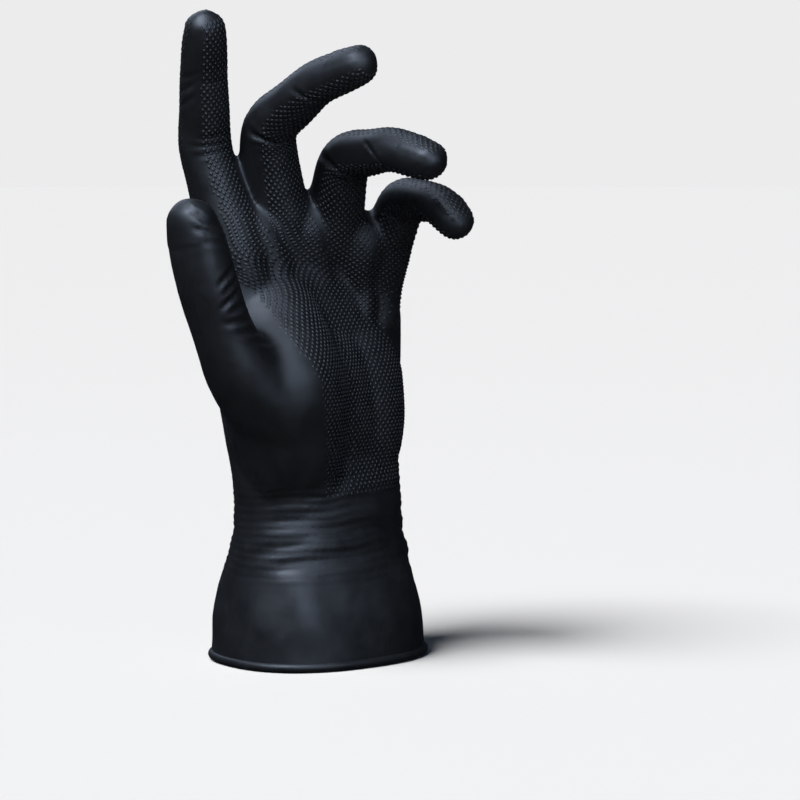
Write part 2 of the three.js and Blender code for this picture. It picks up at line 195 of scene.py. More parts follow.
def turn(axis, degrees):
    # a turn about any axis through the origin
    m = np.eye(4)
    x, y, z = np.array(axis, float) / np.linalg.norm(axis)
    c, s = math.cos(math.radians(degrees)), math.sin(math.radians(degrees))
    m[:3, :3] = [
        [c + x * x * (1 - c), x * y * (1 - c) - z * s, x * z * (1 - c) + y * s],
        [y * x * (1 - c) + z * s, c + y * y * (1 - c), y * z * (1 - c) - x * s],
        [z * x * (1 - c) - y * s, z * y * (1 - c) + x * s, c + z * z * (1 - c)],
    ]
    return m


xAxis, yAxis, zAxis = (1, 0, 0), (0, 1, 0), (0, 0, 1)
palmBend = turn(xAxis, palmPose["tilt"]) @ turn(yAxis, palmPose["lean"])
bendAxis = np.array([
    palmBend[2, 1] - palmBend[1, 2],
    palmBend[0, 2] - palmBend[2, 0],
    palmBend[1, 0] - palmBend[0, 1],
])
bendAngle = math.degrees(math.acos((np.trace(palmBend[:3, :3]) - 1) / 2))
palmTurn = palmBend @ turn(zAxis, palmPose["turn"])
palmFrame = move(0, 0, gloveSizes["cuffLength"]) @ palmTurn


def bodyFrame(share):
    # share runs from -1 at the cuff's edge, past 0 at the wrist, to 1 at the knuckles
    part = float(smoothStep(share, palmPose["bendStart"], palmPose["bendEnd"]))
    m = turn(bendAxis, bendAngle * part) @ turn(zAxis, palmPose["turn"])
    if share < 0:
        m[:3, 3] = (0, 0, gloveSizes["cuffLength"] * (1 + share))
    else:
        m[:3, 3] = (palmFrame @ np.array([0, 0, gloveSizes["palmLength"] * share, 1]))[:3]
    return m


def between(first, last, share):
    return gloveSizes[first] + (gloveSizes[last] - gloveSizes[first]) * share


def bodySection(share):
    # half breadth, back and palm depths, shift across and slant of the cuff, wrist or palm
    if share < 0:
        flare = float(readSmooth(cuffSections, "flare", 1 + share)[0])
        breadth = between("wristBreadth", "cuffBreadth", flare)
        depth = between("wristDepth", "cuffDepth", flare)
        return breadth / 2, depth / 2, depth / 2, 0.0, 0.0
    row = {name: float(readSmooth(palmSections, name, share)[0]) for name in palmSections if name != "at"}
    breadth = between("wristBreadth", "palmBreadth", row["spread"])
    depth = between("wristDepth", "palmDepth", row["thin"])
    return breadth / 2, depth / 2, depth / 2, row["across"] * gloveSizes["palmBreadth"], row["slant"]


def ovalRing(m, halfWidth, back, palm, sides, power, slant=0.0):
    angle = 2 * np.pi * np.arange(sides) / sides
    c, s = np.cos(angle), np.sin(angle)
    x = halfWidth * np.sign(c) * np.abs(c) ** (2 / power)
    y = np.where(s > 0, back, palm) * np.sign(s) * np.abs(s) ** (2 / power)
    local = np.stack([x, y, -slant * x, np.ones(sides)])
    return (m @ local)[:3].T


def digitWalk(digit, distances):
    # frames along a digit at distances from its knuckle, following its bends
    distances = np.asarray(distances, float)
    first, last, step = min(distances.min(), 0) - 1, distances.max() + 1, 0.25
    fine = np.arange(first, last + step, step)
    reach = gloveSizes["bendReach"] * digit["width"]

    def bendAt(s):
        total = np.zeros_like(s)
        for bend, joint in zip(digit["bends"], digit["joints"]):
            centre = joint * digit["length"]
            total += bend * smoothStep(s, centre - reach, centre + reach)
        return total

    middle = np.radians(bendAt((fine[1:] + fine[:-1]) / 2))
    start = digit["sections"]["at"][0] * digit["length"]
    y = np.concatenate([[0], np.cumsum(-np.sin(middle) * step)])
    z = np.concatenate([[0], np.cumsum(np.cos(middle) * step)])
    y -= np.interp(start, fine, y)
    z += start - np.interp(start, fine, z)
    root = (
        palmFrame
        @ move(digit["across"] * gloveSizes["palmBreadth"], -digit["out"] * gloveSizes["palmDepth"],
               digit["along"] * gloveSizes["palmLength"])
        @ turn(yAxis, -digit["splay"]) @ turn(xAxis, digit["lift"]) @ turn(zAxis, digit["roll"])
    )
    frames = []
    for s, angle in zip(distances, bendAt(distances)):
        frames.append(root @ move(0, np.interp(s, fine, y), np.interp(s, fine, z)) @ turn(xAxis, angle))
    return np.array(frames)


def digitSection(digit, distances):
    share = np.asarray(distances, float) / digit["length"]
    row = {name: readSmooth(digit["sections"], name, share) * digit["width"]
           for name in ("width", "back", "pad", "shift")}
    return row["width"] / 2, row["back"], row["pad"], row["shift"]


def digitRings(digit, stations, sides):
    first = digit["sections"]["at"][0] * digit["length"]
    tip = digit["sections"]["width"][-1] * digit["width"] / 2
    roundStart = digit["length"] - tip
    steps = np.radians([0, 12, 24, 36, 47, 57, 66, 74, 81, 86])
    distances = np.concatenate([
        first + (roundStart - first) * np.arange(stations) / stations,
        roundStart + tip * np.sin(steps),
    ])
    scales = np.concatenate([np.ones(stations), np.cos(steps)])
    halfWidth, back, pad, shift = digitSection(digit, distances)
    frames = digitWalk(digit, distances)
    return [
        ovalRing(m @ move(-shift[i], 0, 0), halfWidth[i] * scales[i], back[i] * scales[i], pad[i] * scales[i],
                 sides, gloveSizes["digitPower"])
        for i, m in enumerate(frames)
    ]


def bodyRings(low, stations, sides):
    high = palmSections["at"][-1]
    steps = [(share, 1.0) for share in np.linspace(low, high, stations)]
    steps.append((high, gloveSizes["palmEndShrink"]))
    rings = []
    for share, scale in steps:
        halfWidth, back, palm, across, slant = bodySection(share)
        m = bodyFrame(share) @ move(across, 0, 0)
        rings.append(ovalRing(m, halfWidth * scale, back * scale, palm * scale, sides,
                              gloveSizes["bodyPower"], slant))
    return rings


def webRings(web, stations, sides):
    shares = np.linspace(0, 1, stations)
    walks = []
    for side, name in enumerate(web["pair"]):
        digit = digits[name]
        places = (web["start"][side] + (web["end"][side] - web["start"][side]) * shares) * digit["length"]
        walks.append(digitWalk(digit, places))
    rings = []
    for share, near, far in zip(shares, *walks):
        a, b = near[:3, 3], far[:3, 3]
        across = (b - a) / np.linalg.norm(b - a)
        back = np.cross(near[:3, 2] + far[:3, 2], across)
        back /= np.linalg.norm(back)
        m = np.eye(4)
        m[:3, 0], m[:3, 1], m[:3, 2], m[:3, 3] = across, back, np.cross(across, back), (a + b) / 2
        depth = float(readSmooth(webSections, "thick", share)[0]) * web["depth"] / 2
        rings.append(ovalRing(m, np.linalg.norm(b - a) / 2, depth * web["back"], depth, sides,
                              gloveSizes["digitPower"]))
    return rings


# tubes: each starts as a circle, extruded once for every further section
mm = 0.001


def growTube(name, rings):
    deselectAll()
    sides, step = len(rings[0]), 0.005
    bpy.ops.mesh.primitive_circle_add(vertices=sides, radius=0.01, fill_type="NGON", location=(0, 0, 0))
    tube = bpy.context.object
    tube.name = name
    bpy.ops.object.mode_set(mode="EDIT")
    for _ in rings[1:]:
        bpy.ops.mesh.extrude_region_move(TRANSFORM_OT_translate={"value": (0, 0, step)})
    bpy.ops.object.mode_set(mode="OBJECT")
    places = np.zeros(len(tube.data.vertices) * 3)
    tube.data.vertices.foreach_get("co", places)
    places = places.reshape(-1, 3)
    row = np.rint(places[:, 2] / step).astype(int)
    column = np.rint(np.arctan2(places[:, 1], places[:, 0]) / (2 * np.pi / sides)).astype(int) % sides
    tube.data.vertices.foreach_set("co", (np.array(rings)[row, column] * mm).ravel())
    tube.data.update()
    bpy.ops.object.mode_set(mode="EDIT")
    bpy.ops.mesh.select_all(action="SELECT")
    bpy.ops.mesh.normals_make_consistent(inside=False)
    bpy.ops.object.mode_set(mode="OBJECT")
    return tube


def applyModifier(item, kind, **settings):
    selectOnly(item)
    modifier = item.modifiers.new(kind.lower(), kind)
    for key, value in settings.items():
        setattr(modifier, key, value)
    bpy.ops.object.modifier_apply(modifier=modifier.name)


def joinAll(items, name):
    deselectAll()
    for item in items:
        item.select_set(True)
    bpy.context.view_layer.objects.active = items[0]
    bpy.ops.object.join()
    items[0].name = name
    items[0].data.name = name
    return items[0]


def readPlaces(item):
    places = np.zeros(len(item.data.vertices) * 3)
    item.data.vertices.foreach_get("co", places)
    return places.reshape(-1, 3)


def writePlaces(item, places):
    item.data.vertices.foreach_set("co", np.ascontiguousarray(places).ravel())
    item.data.update()


def readNormals(item):
    normals = np.zeros(len(item.data.vertices) * 3)
    item.data.vertices.foreach_get("normal", normals)
    return normals.reshape(-1, 3)


filmSetup = {
    "voxel": 1.0,  # mm, the fineness of the outer skin
    "smoothing": 14,
    "wall": 0.9,  # mm
    "liningShare": 0.16,  # fineness of the inside against the outside
    "rim": 1.6,  # mm above the bead's lower edge
    "below": 6.0,  # mm that the tube runs on before it is cut at the rim
    # the slope from the ball of the thumb to the palm is drawn smooth: its middle, reach in mm and passes
    "slopeMiddle": (-4, -36, 108), "slopeReach": 34, "slopePasses": 70,
}


def buildFilm(setup):
    low = -1 - setup["below"] / gloveSizes["cuffLength"]
    tubes = [growTube("body", bodyRings(low, 70, 64))]
    for name, digit in digits.items():
        tubes.append(growTube(name, digitRings(digit, 40, 32)))
    for web in webs:
        tubes.append(growTube("web", webRings(web, 14, 24)))
    film = joinAll(tubes, "film")
    applyModifier(film, "REMESH", mode="VOXEL", voxel_size=setup["voxel"] * mm, adaptivity=0.0)
    applyModifier(film, "SMOOTH", factor=0.5, iterations=setup["smoothing"])
    away = np.linalg.norm(readPlaces(film) / mm - np.array(setup["slopeMiddle"]), axis=1)
    share = smoothStep(away, setup["slopeReach"], setup["slopeReach"] * 0.5)
    group = film.vertex_groups.new(name="slope")
    for i in np.nonzero(share)[0]:
        group.add([int(i)], float(share[i]), "REPLACE")
    applyModifier(film, "SMOOTH", factor=0.5, iterations=setup["slopePasses"], vertex_group="slope")
    return film


film = buildFilm(filmSetup)
print("film: tubes joined,", len(film.data.vertices), "points")


# where each point of the film lies on the hand: a section is sampled in steps of 5 degrees from -180,
# so the palm's middle is at step 18 and the back's at step 54
angleStep, palmMiddle, backMiddle, fullRound = 5, 18, 54, 72


def sampleTube(name):
    # axis frames, sections and the distance round the section, at every millimetre of a tube
    if name == "body":
        shares = np.arange(-1.15, 1.021, 0.01)
        sections = np.array([bodySection(s) for s in shares])
        frames = np.array([bodyFrame(s) @ move(sec[3], 0, 0) for s, sec in zip(shares, sections)])
        along = shares * np.where(shares < 0, gloveSizes["cuffLength"], gloveSizes["palmLength"])
        half, back, palm, power = sections[:, 0], sections[:, 1], sections[:, 2], gloveSizes["bodyPower"]
        centre, end = sections[:, 3], 1e6
    else:
        digit = digits[name]
        tip = digit["sections"]["width"][-1] * digit["width"] / 2
        end = digit["length"] - tip
        along = np.arange(digit["sections"]["at"][0] * digit["length"], digit["length"], 1.0)
        half, back, palm, shift = digitSection(digit, np.minimum(along, end))
        frames = digitWalk(digit, along)
        frames = np.array([m @ move(-s, 0, 0) for m, s in zip(frames, shift)])
        centre, power = np.zeros_like(along), gloveSizes["digitPower"]
    angle = np.radians(np.arange(-180, 181, angleStep))
    c, s = np.cos(angle), np.sin(angle)
    x = half[:, None] * np.sign(c) * np.abs(c) ** (2 / power)
    y = np.where(s > 0, back[:, None], palm[:, None]) * np.sign(s) * np.abs(s) ** (2 / power)
    run = np.concatenate([np.zeros((len(along), 1)), np.cumsum(np.hypot(np.diff(x), np.diff(y)), 1)], 1)
    return {"along": along, "frames": frames, "half": half, "back": back, "palm": palm,
            "centre": centre, "power": power, "end": end, "run": run}


def placeOn(tube, points):
    # for each point: distance along, angle round (-90 is the palm's middle), closeness (1 is the tube's
    # own surface) and the distance round from the palm's and the back's middle line
    origins = tube["frames"][:, :3, 3]
    nearest = np.zeros(len(points), int)
    for first in range(0, len(points), 20000):
        part = points[first:first + 20000]
        gap = (origins ** 2).sum(1)[None] - 2 * part @ origins.T
        nearest[first:first + 20000] = gap.argmin(1)
    frames = tube["frames"][nearest]
    local = np.einsum("nij,ni->nj", frames[:, :3, :3], points - frames[:, :3, 3])
    x, y = local[:, 0], local[:, 1]
    along = tube["along"][nearest] + local[:, 2]
    half = tube["half"][nearest]
    depth = np.where(y > 0, tube["back"][nearest], tube["palm"][nearest])
    power = tube["power"]
    over = np.maximum(0, along - tube["end"]) / np.minimum(half, depth)
    near = ((np.abs(x) / half) ** power + (np.abs(y) / depth) ** power + over ** power) ** (1 / power)
    c = np.sign(x) * (np.abs(x) / half) ** (power / 2)
    s = np.sign(y) * (np.abs(y) / depth) ** (power / 2)
    angle = np.degrees(np.arctan2(s, c))
    slot = np.clip((angle + 180) / angleStep, 0, fullRound - 0.001)
    cell = slot.astype(int)
    part = slot - cell
    run = tube["run"]
    here = run[nearest, cell] * (1 - part) + run[nearest, cell + 1] * part
    centre = tube["centre"][nearest]
    return {"along": along, "angle": angle, "near": near,
            "palmRun": here - run[nearest, palmMiddle] + centre,
            "backRun": run[nearest, backMiddle] - here + centre,
            "round": run[nearest, fullRound]}


tubeSamples = {name: sampleTube(name) for name in ["body", "thumb", "ball", *fingers]}


def placeOnHand(points):
    return {name: placeOn(tube, points) for name, tube in tubeSamples.items()}


# folds: each is a crease round part of a tube, at a distance along it and an angle round it
foldSetup = {
    "seed": 11,
    "swell": 0.16,  # mm, the slow unevenness of a stretched film
    "fineSwell": 0.45,  # the finer part of it, as a share
    "wristRipple": 0.14,  # mm
    "lip": 0.32,  # height of the lips beside a crease, as a share of its depth
    "cuffWave": 0.5,  # mm
    "nailRise": 0.28,  # mm
    "folds": [
        # tube, at, angle, span, depth, width, skew (mm for each radian)
        ("index", 41.0, -100, 62, 0.30, 1.1, 0.5), ("index", 44.6, -105, 70, 0.42, 1.0, -0.6),
        ("index", 48.4, -98, 58, 0.34, 1.1, 0.8), ("index", 66.0, -172, 34, 0.45, 1.2, 6.0),
        ("index", 61.5, -166, 30, 0.30, 1.2, 7.0), ("index", 71.0, -160, 30, 0.26, 1.0, 4.0),
        ("index", 69.0, -84, 50, 0.22, 1.1, 0.0),
        ("middle", 48.8, -128, 84, 1.7, 1.2, 0.3), ("middle", 46.2, -140, 50, 0.6, 1.0, 1.2),
        ("middle", 44.6, -96, 44, 0.4, 1.1, -1.0),
        ("middle", 53.5, -100, 46, 0.45, 1.2, 1.5), ("middle", 75.5, -166, 40, 0.65, 1.1, 5.0),
        ("middle", 72.0, -110, 44, 0.35, 1.2, 0.0), ("middle", 79.0, -120, 40, 0.25, 1.1, 1.0),
        ("ring", 46.8, -168, 66, 0.9, 1.4, 4.4), ("ring", 42.5, -110, 56, 0.5, 1.3, 0.0),
        ("ring", 51.0, -110, 52, 0.5, 1.3, 1.0), ("ring", 69.6, -188, 36, 0.7, 1.0, 8.0),
        ("ring", 73.5, -110, 54, 0.45, 1.2, 0.0),
        ("little", 34.5, -120, 70, 0.8, 1.4, 2.0), ("little", 38.5, -100, 50, 0.4, 1.1, 0.0),
        ("little", 55.5, -130, 60, 0.6, 1.1, 3.0),
        ("thumb", 103.0, 150, 40, 0.45, 0.9, -7.0), ("thumb", 100.0, 158, 46, 0.65, 1.1, -6.0),
        ("thumb", 96.5, 150, 40, 0.55, 1.1, -4.0), ("thumb", 92.5, 160, 34, 0.4, 1.1, -3.0),
        ("thumb", 80.0, 168, 34, 0.6, 1.0, 4.0), ("thumb", 76.5, 178, 34, 0.8, 1.0, 2.5),
        ("thumb", 72.8, 170, 44, 0.75, 1.0, 3.0), ("thumb", 68.5, 180, 38, 0.65, 1.0, 0.0),
        ("thumb", 64.0, 168, 44, 0.7, 1.1, -2.5), ("thumb", 58.5, 182, 40, 0.6, 1.2, -5.0),
        ("thumb", 53.0, 196, 34, 0.45, 1.3, -8.0),
        ("thumb", 45.5, -90, 60, 0.35, 1.3, 0.0), ("thumb", 78.0, -90, 60, 0.3, 1.2, 0.0),
        ("body", -16.5, -104, 70, 0.62, 2.6, 3.0), ("body", -8.8, -76, 84, 0.66, 2.8, -4.0),
        ("body", -1.1, -110, 74, 0.6, 2.6, 2.6), ("body", -20.5, -40, 60, 0.4, 2.2, -3.0),
        ("body", -12.6, 88, 74, 0.45, 2.2, 3.6), ("body", -4.0, 110, 60, 0.5, 2.3, -3.4),
        ("body", 3.6, 70, 60, 0.36, 2.0, 2.0), ("body", 6.6, -120, 60, 0.35, 2.0, 5.0),
        ("body", -13.0, -150, 40, 0.4, 2.0, 5.0), ("body", -5.0, -28, 40, 0.4, 2.0, 4.0),
    ],
}


def wrapAngle(angle):
    return (angle + 180) % 360 - 180


def foldLift(place, fold, lip):
    _, at, angle, span, depth, width, skew = fold
    away = wrapAngle(place["angle"] - angle)
    t = np.abs(place["along"] - at - skew * np.radians(away))
    reach = smoothStep(np.abs(away), span, span * 0.35) * smoothStep(place["near"], 1.5, 1.2)
    return -depth * reach * (np.exp(-((t / width) ** 2)) - lip * np.exp(-(((t - 1.9 * width) / width) ** 2)))


def slowNoise(points, scale, seed):
    # smooth unevenness with a repeat of about the given number of millimetres
    shift = Vector((seed * 3.7, seed * 1.3, seed * 5.1))
    return np.array([noise.noise(Vector(p) / scale + shift) for p in points])


def pressFolds(item, setup):
    points = readPlaces(item) / mm
    normals = readNormals(item)
    place = placeOnHand(points)
    lift = sum(foldLift(place[fold[0]], fold, setup["lip"]) for fold in setup["folds"])
    lift = lift + setup["swell"] * slowNoise(points, 13.0, setup["seed"])
    lift += setup["fineSwell"] * setup["swell"] * slowNoise(points, 5.0, setup["seed"] + 1)
    # the loose cuff hangs in soft waves, which die out at the bead
    body = place["body"]
    loose = smoothStep(body["along"], -52, -38) * smoothStep(body["along"], -14, -30)
    turned = np.radians(body["angle"])
    waves = np.sin(5 * turned + 0.7) + 0.6 * np.sin(9 * turned + body["along"] / 9)
    lift += setup["cuffWave"] * loose * waves
    # fine drawn-in wrinkles at the wrist
    drawn = smoothStep(body["along"], -30, -14) * smoothStep(body["along"], 14, 4)
    drawn *= smoothStep(body["near"], 1.4, 1.15)
    ripple = np.sin(body["along"] * 2.3 + 3.0 * slowNoise(points, 16.0, setup["seed"] + 2))
    lift += setup["wristRipple"] * drawn * ripple
    # nails show through as low plates
    for name in ["thumb", *fingers]:
        spot, length = place[name], digits[name]["length"]
        plate = smoothStep(np.abs(wrapAngle(spot["angle"] - 90)), 58, 50)
        plate *= smoothStep(spot["along"], length - 15.5, length - 14.3)
        plate *= smoothStep(spot["along"], length - 1.5, length - 4)
        lift += setup["nailRise"] * plate * smoothStep(spot["near"], 1.3, 1.1)
    writePlaces(item, (points + normals * lift[:, None]) * mm)


pressFolds(film, foldSetup)
print("film: folds pressed in")


# inside: a coarser copy of the film, set in by the wall and joined to it round the rim
def cutAtRim(item, height):
    selectOnly(item)
    bpy.ops.object.mode_set(mode="EDIT")
    bpy.ops.mesh.select_all(action="SELECT")
    bpy.ops.mesh.bisect(plane_co=(0, 0, height * mm), plane_no=(0, 0, 1), clear_inner=True, use_fill=False)
    bpy.ops.object.mode_set(mode="OBJECT")


def addLining(film, setup):
    selectOnly(film)
    bpy.ops.object.duplicate()
    lining = bpy.context.object
    lining.name = "lining"
    applyModifier(lining, "DECIMATE", ratio=setup["liningShare"])
    writePlaces(lining, readPlaces(lining) - readNormals(lining) * setup["wall"] * mm)
    cutAtRim(film, setup["rim"])
    cutAtRim(lining, setup["rim"])
    selectOnly(lining)
    bpy.ops.object.mode_set(mode="EDIT")
    bpy.ops.mesh.select_all(action="SELECT")
    bpy.ops.mesh.flip_normals()
    bpy.ops.object.mode_set(mode="OBJECT")
    outerFaces = len(film.data.polygons)
    both = joinAll([film, lining], "film")
    bpy.ops.object.mode_set(mode="EDIT")
    bpy.ops.mesh.select_mode(type="EDGE")
    bpy.ops.mesh.select_all(action="DESELECT")
    bpy.ops.mesh.select_non_manifold(extend=False, use_wire=False, use_boundary=True,
                                     use_multi_face=False, use_non_contiguous=False, use_verts=False)
    bpy.ops.mesh.bridge_edge_loops()
    bpy.ops.mesh.select_mode(type="VERT")
    bpy.ops.object.mode_set(mode="OBJECT")
    return both, outerFaces


film, outerFaces = addLining(film, filmSetup)
film.data.polygons.foreach_set("use_smooth", [True] * len(film.data.polygons))
print("film: lining joined,", len(film.data.polygons), "faces")

# bead: a torus laid round the oval of the rim
beadSetup = {
    "around": 128, "section": 14,
    "torusRadius": 30,  # mm, before it is laid round the oval
    "inset": 0.5, "raised": 0.15,  # mm
}


def buildBead(setup):
    deselectAll()
    radius = gloveSizes["beadThickness"] / 2
    bpy.ops.mesh.primitive_torus_add(major_segments=setup["around"], minor_segments=setup["section"],
                                     major_radius=setup["torusRadius"] * mm, minor_radius=radius * mm,
                                     location=(0, 0, 0))
    bead = bpy.context.object
    bead.name = "cuff_bead"
    places = readPlaces(bead) / mm
    around = np.arctan2(places[:, 1], places[:, 0])
    outward = np.hypot(places[:, 0], places[:, 1]) - setup["torusRadius"]
    half = gloveSizes["cuffBreadth"] / 2 - setup["inset"]
    deep = gloveSizes["cuffDepth"] / 2 - setup["inset"]
    power = gloveSizes["bodyPower"]
    way = np.stack([np.cos(around), np.sin(around)], 1)
    size = np.array([half, deep])
    line = size * np.sign(way) * np.abs(way) ** (2 / power)
    out = np.sign(way) * np.abs(way) ** (2 - 2 / power) / size
    out /= np.linalg.norm(out, axis=1)[:, None]
    flat = line + out * outward[:, None]
    spun = flat @ turn(zAxis, palmPose["turn"])[:2, :2].T
    height = places[:, 2] + radius + setup["raised"]
    writePlaces(bead, np.column_stack([spun, height]) * mm)
    bead.data.polygons.foreach_set("use_smooth", [True] * len(bead.data.polygons))
    return bead


bead = buildBead(beadSetup)
print("bead laid round the cuff")

# grip: rows of small raised diamonds on the palm's and the back's side
gripSetup = {
    "column": 2.2,  # mm between diamonds of one row
    "row": 1.3,  # mm between rows, each second row set over by half a column
    "halfWide": 0.88, "halfTall": 1.02, "sink": 0.16,  # mm
    "shoulder": 0.76, "point": 0.24,  # shares of a diamond's height: its shoulder, and the point above
    "taper": 0.66,  # its breadth at the shoulder, as a share of its foot's
    "palmRise": 0.34, "backRise": 0.13,  # mm
    "halfSpan": 64,  # degrees round a finger to each side
    # the glove has turned a little on each finger: degrees at shares of its length, and on its back
    "turnAt": [0.0, 0.42, 0.58, 0.78],
    "palmTurns": {"index": [26, 26, 28, 30], "middle": [-7, -7, -30, -14],
                  "ring": [-25, -25, -10, 6], "little": [-15, -15, -8, 0]},
    "backTurns": {"index": 26, "middle": -38, "ring": -34, "little": -12},
    "thumbSpan": 46,
    "passes": 320,  # of evening out where the fingers' patterns meet the palm's
    # the ball of the thumb is smooth: on the palm the grip starts this far across, for each height
    "palmEdge": {"at": [-20, 8, 30, 43, 51, 61, 69, 74, 79, 85, 95, 120],
                 "start": [-14, -12, -9, -8, -9, -12, -17, -22, -27, -34, -45, -60]},
    "palmLow": 2.0, "backLow": -9.0,  # mm above the wrist where the grip ends
}


def unrollPalm(points, body, free):
    # the true distance round the palm's side, measured on the film itself from the flat of the palm
    rowStep, columnStep, flatAt = 3.0, 1.5, 14
    rows, columns = np.arange(-12, 106, rowStep), np.arange(-45, 34, columnStep)
    i = np.rint((body["along"] - rows[0]) / rowStep).astype(int)
    j = np.rint((body["palmRun"] - columns[0]) / columnStep).astype(int)
    use = free & (i >= 0) & (i < len(rows)) & (j >= 0) & (j < len(columns))
    count = np.zeros((len(rows), len(columns)))
    total = np.zeros((len(rows), len(columns), 3))
    np.add.at(count, (i[use], j[use]), 1)
    np.add.at(total, (i[use], j[use]), points[use])
    run = np.zeros_like(count)
    flat = int(np.argmin(np.abs(columns - flatAt)))
    for k in range(len(rows)):
        known = np.nonzero(count[k])[0]
        line = total[k, known] / count[k, known][:, None]
        spots = np.stack([np.interp(columns, columns[known], line[:, axis]) for axis in range(3)], 1)
        steps = np.linalg.norm(np.diff(spots, axis=0), axis=1)
        steps = np.convolve(np.pad(steps, 2, mode="edge"), np.ones(5) / 5, mode="valid")
        distance = np.concatenate([[0], np.cumsum(steps)])
        run[k] = distance - distance[flat] + columns[flat]
    run = sum(np.pad(run, ((2, 2), (0, 0)), mode="edge")[shift:shift + len(rows)] for shift in range(5)) / 5
    u = np.clip((body["along"] - rows[0]) / rowStep, 0, len(rows) - 1.001)
    v = np.clip((body["palmRun"] - columns[0]) / columnStep, 0, len(columns) - 1.001)
    a, b = u.astype(int), v.astype(int)
    u, v = u - a, v - b
    upper = run[a + 1, b] * (1 - v) + run[a + 1, b + 1] * v
    return (run[a, b] * (1 - v) + run[a, b + 1] * v) * (1 - u) + upper * u


def relaxGrid(points, across, along, mask, loose, triangles, passes):
    # lets the grip's two distances even out where they are loose, so that the pattern keeps its size
    grid = np.stack([across, along], 1)
    use = (mask[triangles].min(1) > 0) & (loose[triangles].max(1) > 0)
    use &= np.ptp(grid[triangles], axis=1).max(1) < 3.5
    corners = triangles[use]
    a, b, c = points[corners].transpose(1, 0, 2)
    width = np.linalg.norm(b - a, axis=1)
    reach = ((c - a) * (b - a)).sum(1) / width
    height = np.linalg.norm(np.cross(b - a, c - a), axis=1) / width
    zero = np.zeros_like(width)
    flat = np.stack([np.stack([zero, width, reach], 1), np.stack([zero, zero, height], 1)], 2)
    sides = grid[corners][:, 1:] - grid[corners][:, :1]
    if np.median(sides[:, 0, 0] * sides[:, 1, 1] - sides[:, 0, 1] * sides[:, 1, 0]) < 0:
        flat[:, :, 1] *= -1
    flat -= flat.mean(1, keepdims=True)
    count = np.bincount(corners.ravel(), minlength=len(points))
    share = 0.9 * loose * (count > 0)
    for _ in range(passes):
        middle = grid[corners].mean(1, keepdims=True)
        away = grid[corners] - middle
        c = (flat * away).sum((1, 2))
        s = (flat[:, :, 0] * away[:, :, 1] - flat[:, :, 1] * away[:, :, 0]).sum(1)
        size = np.hypot(c, s) + 1e-9
        c, s = (c / size)[:, None], (s / size)[:, None]
        wanted = [c * flat[:, :, 0] - s * flat[:, :, 1], s * flat[:, :, 0] + c * flat[:, :, 1]]
        for axis in (0, 1):
            total = np.bincount(corners.ravel(), (wanted[axis] + middle[:, :, axis]).ravel(), len(points))
            grid[:, axis] += share * (total / np.maximum(count, 1) - grid[:, axis])
    return grid.T


def palmArea(points, place, outerPoints, setup):
    # distance across on the palm's side, and how far the grip has risen there
    body = place["body"]
    edge = np.interp(body["along"], setup["palmEdge"]["at"], setup["palmEdge"]["start"])
    mask = smoothStep(body["angle"], -25, -31) * smoothStep(body["angle"], -176, -168)
    mask *= smoothStep(body["palmRun"], edge - 0.8, edge + 1.4)
    mask *= smoothStep(body["along"], setup["palmLow"], setup["palmLow"] + 5)
    nearDigit = np.min([place[name]["near"] for name in ["thumb", *fingers]], axis=0)
    free = np.minimum(body["near"], place["ball"]["near"]) < nearDigit + 0.05
    free &= (body["angle"] < 0) & (np.arange(len(points)) < outerPoints)
    return unrollPalm(points, body, free), mask


def backArea(place, setup):
    body = place["body"]
    mask = smoothStep(np.abs(body["angle"] - 90), 68, 60)
    mask *= smoothStep(body["along"], setup["backLow"], setup["backLow"] + 6)
    return body["backRun"], mask


def fingerArea(name, spot, side, setup):
    # the same for one finger, with the distance along it
    digit = digits[name]
    if side == "palm":
        share = spot["along"] / digit["length"]
        centre, way = np.interp(share, setup["turnAt"], setup["palmTurns"][name]) - 90, 1
    else:
        centre, way = setup["backTurns"][name] + 90, -1
    past = spot["angle"] - centre
    lap = (past < -180).astype(float) - (past > 180)
    across = spot[side + "Run"] + way * lap * spot["round"] + digit["across"] * gloveSizes["palmBreadth"]
    along = spot["along"] + digit["along"] * gloveSizes["palmLength"]
    mask = smoothStep(np.abs(wrapAngle(past)), setup["halfSpan"] + 2, setup["halfSpan"] - 3)
    mask *= smoothStep(spot["along"], digit["length"] - 1.5, digit["length"] - 4)
    return across, along, mask


def gripMap(points, place, outerPoints, side, setup):
    # distances across and along on one side of the glove, how far the grip has risen there, and how
    # loose its two distances are
    body = place["body"]
    if side == "palm":
        across, mask = palmArea(points, place, outerPoints, setup)
    else:
        across, mask = backArea(place, setup)
    shares = {name: np.exp(-7 * np.minimum(place[name]["near"], 20)) for name in fingers}
    total = sum(shares.values())
    weights = {name: shares[name] / total * smoothStep(place[name]["along"], -8, 16) for name in fingers}
    rest = 1 - sum(weights.values())
    across, along, mask = across * rest, body["along"] * rest, mask * rest
    for name in fingers:
        fingerAcross, fingerAlong, fingerMask = fingerArea(name, place[name], side, setup)
        across += weights[name] * fingerAcross
        along += weights[name] * fingerAlong
        mask += weights[name] * fingerMask
    # the valleys between the fingers stay bare, and so does the thumb's outside
    nears = np.array([place[name]["near"] for name in fingers])
    order = np.argsort(nears, axis=0)[:2]
    nearest, second = np.take_along_axis(nears, order, 0)
    alongs = np.array([place[name]["along"] for name in fingers])
    reached = np.take_along_axis(alongs, order[:1], 0)[0]
    mask *= 1 - smoothStep(second - nearest, 0.4, 0.12) * smoothStep(reached, 8, 15)
    mask *= smoothStep(place["thumb"]["near"], 1.04, 1.14)
    loose = smoothStep(body["along"], 58, 70) * smoothStep(reached, 26, 16)
    return across, along, mask, loose


